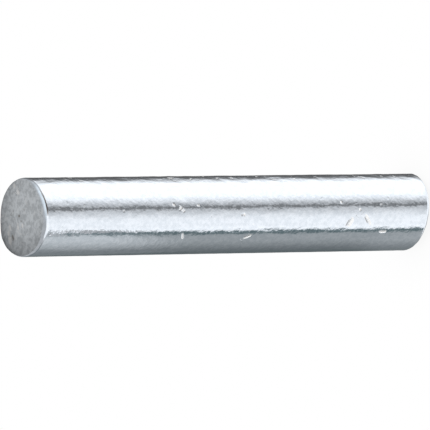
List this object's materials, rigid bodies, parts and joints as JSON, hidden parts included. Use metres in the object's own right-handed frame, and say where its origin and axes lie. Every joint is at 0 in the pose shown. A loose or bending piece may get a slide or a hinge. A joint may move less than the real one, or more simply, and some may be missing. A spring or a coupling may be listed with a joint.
{
  "type": "impact socket pin",
  "caption": "Plain round steel pin with flat, rounded-edge ends, which locks an impact socket onto a square drive through their cross hole.",
  "frame": {"origin": "centre of the lower end face, on the surface that the pin stands on", "axes": "+Z along the pin's axis, up through its upper end face; +X and +Y are any two directions square to it, because the pin is round"},
  "size_m": [0.004, 0.004, 0.025],
  "materials": {
    "plated_steel": "bright zinc plating, lightly tumbled"
  },
  "bodies": {
    "root": {"retaining_pin": "plated_steel"}
  },
  "joints": []
}
